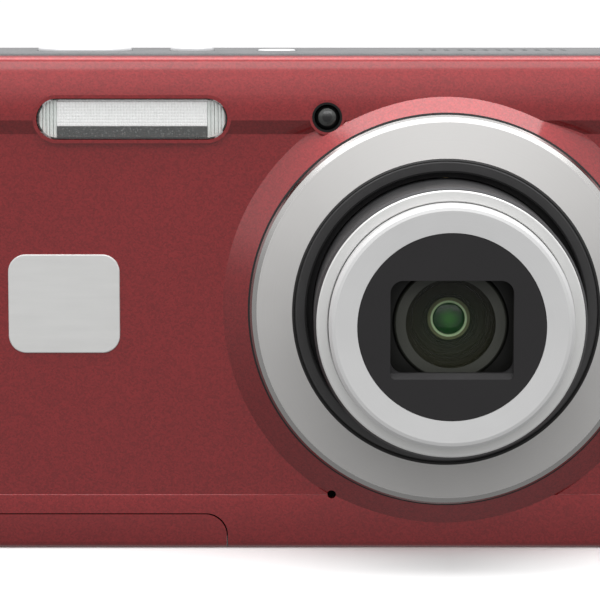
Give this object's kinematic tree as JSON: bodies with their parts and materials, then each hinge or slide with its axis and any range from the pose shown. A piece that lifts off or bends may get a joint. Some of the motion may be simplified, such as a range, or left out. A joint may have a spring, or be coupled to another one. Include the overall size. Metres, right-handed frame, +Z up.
{
  "type": "compact digital camera",
  "caption": "Slim pocket camera with a telescoping zoom lens, flash window, top controls, rear display and keys, battery door, port cover and tripod socket.",
  "frame": {"origin": "centre of the tripod socket's mouth, on the base, at the middle of the body's width and depth", "axes": "+Z up, +X to the right of someone facing the lens, -Y the way the lens looks"},
  "size_m": [0.0914, 0.0359, 0.0573],
  "materials": {
    "barrel_dark": "satin charcoal",
    "battery_wrap": "plain dark sleeve",
    "black_plastic": "matte black",
    "board_green": "solder-masked board",
    "brass_part": "plain",
    "bright_metal": "polished",
    "button_dark": "semi-gloss dark grey",
    "button_silver": "satin silver",
    "card_blue": "plain dark blue plastic",
    "clear_plastic": "clear ribbed plastic",
    "display_glass": "gloss black window",
    "lens_glass": "coated glass",
    "motor_can": "drawn can",
    "rear_dark": "fine-textured dark grey plastic",
    "red_paint": "satin metallic red paint over aluminium",
    "silver": "satin-turned, bright bevels",
    "sleeve_dark": "shrink sleeve",
    "steel": "plain steel",
    "top_grey": "satin silver grey"
  },
  "bodies": {
    "camera": {"front_cover": "red_paint", "rear_cover": "rear_dark", "top_cover": "top_grey", "chassis": "steel", "tripod_insert": "steel", "screws": "steel", "battery_holder": "black_plastic", "battery": "battery_wrap", "memory_card": "card_blue", "door_hinge_pin": "steel", "lens_ring": "silver", "lens_trim": "barrel_dark", "fixed_tube": "black_plastic", "lens_base": "black_plastic", "image_sensor": "black_plastic", "zoom_motor": "motor_can", "main_board": "board_green", "flash_window": "clear_plastic", "flash_reflector": "bright_metal", "flash_tube": "clear_plastic", "flash_capacitor": "sleeve_dark", "focus_lamp_bezel": "black_plastic", "focus_lamp": "lens_glass", "microphone": "motor_can", "speaker": "black_plastic", "top_board": "board_green", "badge": "silver", "display_window": "display_glass", "display_panel": "display_glass", "key_board": "board_green", "usb_socket": "steel", "strap_eyelet": "steel"},
    "battery_door": {"battery_door": "red_paint"},
    "port_cover": {"port_cover": "red_paint"},
    "outer_barrel": {"outer_barrel": "barrel_dark", "guide_pins": "brass_part", "barrel_cap": "silver"},
    "inner_barrel": {"inner_barrel": "silver", "front_disc": "black_plastic", "lens_holder": "black_plastic", "iris_plate": "black_plastic", "front_lens": "lens_glass", "rear_lens": "lens_glass"},
    "upper_blade": {"upper_blade": "black_plastic"},
    "lower_blade": {"lower_blade": "black_plastic"},
    "cam_ring": {"cam_ring": "black_plastic"},
    "zoom_pinion": {"zoom_pinion": "brass_part"},
    "focus_group": {"focus_holder": "black_plastic", "focus_lens": "lens_glass"},
    "shutter_button": {"shutter_button": "button_silver"},
    "power_button": {"power_button": "button_silver"},
    "mode_button": {"mode_button": "button_silver"},
    "zoom_rocker": {"zoom_rocker": "button_dark"},
    "nav_gimbal": {"nav_gimbal": "black_plastic"},
    "nav_ring": {"nav_ring": "button_dark"},
    "ok_button": {"ok_button": "button_dark"},
    "playback_button": {"playback_button": "button_dark"},
    "video_button": {"video_button": "button_dark"},
    "menu_button": {"menu_button": "button_dark"},
    "display_button": {"display_button": "button_dark"}
  },
  "joints": [
    {"name": "lens_extend", "type": "slide", "parent": "camera", "child": "outer_barrel", "axis": [0, -1, 0], "range_m": [-0.0106, 0]},
    {"name": "lens_zoom", "type": "slide", "parent": "outer_barrel", "child": "inner_barrel", "axis": [0, -1, 0], "range_m": [-0.0025, 0.0045]},
    {"name": "upper_blade_close", "type": "slide", "parent": "inner_barrel", "child": "upper_blade", "axis": [0, 0, -1], "range_m": [0, 0.00525]},
    {"name": "lower_blade_close", "type": "slide", "parent": "inner_barrel", "child": "lower_blade", "axis": [0, 0, 1], "range_m": [0, 0.00525]},
    {"name": "cam_turn", "type": "hinge", "parent": "camera", "child": "cam_ring", "pos_m": [0.0165, 0, 0.0278], "axis": [0, -1, 0], "range_deg": [0, 91]},
    {"name": "pinion_spin", "type": "hinge", "parent": "camera", "child": "zoom_pinion", "pos_m": [0.00158, 0.0026, 0.04272], "axis": [0, -1, 0], "range_deg": [-541, 0]},
    {"name": "focus_slide", "type": "slide", "parent": "camera", "child": "focus_group", "axis": [0, -1, 0], "range_m": [-0.0007, 0.0007]},
    {"name": "battery_door_hinge", "type": "hinge", "parent": "camera", "child": "battery_door", "pos_m": [-0.02586, 0.0062, 0.0013], "axis": [1, 0, 0], "range_deg": [0, 88]},
    {"name": "port_cover_hinge", "type": "hinge", "parent": "camera", "child": "port_cover", "pos_m": [0.04525, -0.002, 0.024], "axis": [0, 0, -1], "range_deg": [0, 100]},
    {"name": "shutter_button_press", "type": "slide", "parent": "camera", "child": "shutter_button", "axis": [0, 0, -1], "range_m": [0, 0.0005], "stiffness_N_per_m": 300},
    {"name": "power_button_press", "type": "slide", "parent": "camera", "child": "power_button", "axis": [0, 0, -1], "range_m": [0, 0.0004], "stiffness_N_per_m": 300},
    {"name": "mode_button_press", "type": "slide", "parent": "camera", "child": "mode_button", "axis": [0, 0, -1], "range_m": [0, 0.0004], "stiffness_N_per_m": 300},
    {"name": "zoom_rocker_tilt", "type": "hinge", "parent": "camera", "child": "zoom_rocker", "pos_m": [-0.0315, 0.0076, 0.046], "axis": [0, 0, 1], "range_deg": [-3, 3], "stiffness_Nm_per_rad": 0.02},
    {"name": "nav_tilt_up_down", "type": "hinge", "parent": "camera", "child": "nav_gimbal", "pos_m": [-0.0306, 0.0074, 0.026], "axis": [1, 0, 0], "range_deg": [-1.8, 1.8], "stiffness_Nm_per_rad": 0.03},
    {"name": "nav_tilt_left_right", "type": "hinge", "parent": "nav_gimbal", "child": "nav_ring", "pos_m": [-0.0306, 0.0074, 0.026], "axis": [0, 0, 1], "range_deg": [-1.8, 1.8], "stiffness_Nm_per_rad": 0.03},
    {"name": "ok_button_press", "type": "slide", "parent": "camera", "child": "ok_button", "axis": [0, -1, 0], "range_m": [0, 0.00035], "stiffness_N_per_m": 300},
    {"name": "playback_button_press", "type": "slide", "parent": "camera", "child": "playback_button", "axis": [0, -1, 0], "range_m": [0, 0.00035], "stiffness_N_per_m": 300},
    {"name": "video_button_press", "type": "slide", "parent": "camera", "child": "video_button", "axis": [0, -1, 0], "range_m": [0, 0.00035], "stiffness_N_per_m": 300},
    {"name": "menu_button_press", "type": "slide", "parent": "camera", "child": "menu_button", "axis": [0, -1, 0], "range_m": [0, 0.00035], "stiffness_N_per_m": 300},
    {"name": "display_button_press", "type": "slide", "parent": "camera", "child": "display_button", "axis": [0, -1, 0], "range_m": [0, 0.00035], "stiffness_N_per_m": 300}
  ],
  "couplings": [
    {"joint": "cam_turn", "follows": "lens_extend", "rad_per_m": -148.19},
    {"joint": "pinion_spin", "follows": "lens_extend", "rad_per_m": 889.13},
    {"joint": "lower_blade_close", "follows": "upper_blade_close", "ratio": 1}
  ]
}
